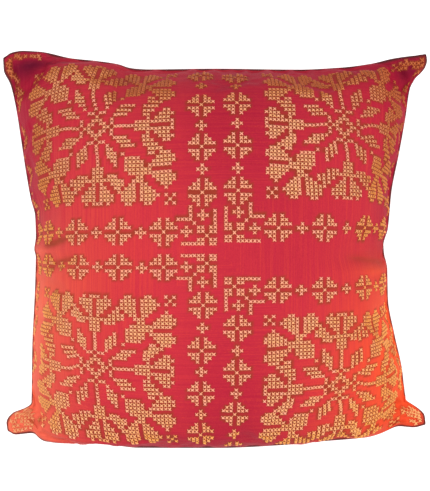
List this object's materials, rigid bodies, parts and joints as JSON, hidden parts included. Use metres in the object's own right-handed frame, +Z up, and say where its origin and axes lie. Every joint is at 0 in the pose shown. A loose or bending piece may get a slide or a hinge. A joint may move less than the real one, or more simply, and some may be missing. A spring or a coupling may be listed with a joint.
{
  "type": "square scatter cushion",
  "caption": "Plump square cushion with drawn-in sides, soft corner ears and a knife-edge seam, lying on its back on a flat patch.",
  "frame": {"origin": "on the surface that the cushion lies on, under the middle of its outline", "axes": "+Z up out of the decorated face, +Y towards the top of its pattern, +X to the right of it"},
  "size_m": [0.3778, 0.3558, 0.1552],
  "materials": {
    "cloth": "slubbed shot silk, crimson with an orange lustre",
    "thread": "satin gold embroidery thread"
  },
  "bodies": {
    "root": {"cushion": "cloth"}
  },
  "joints": []
}
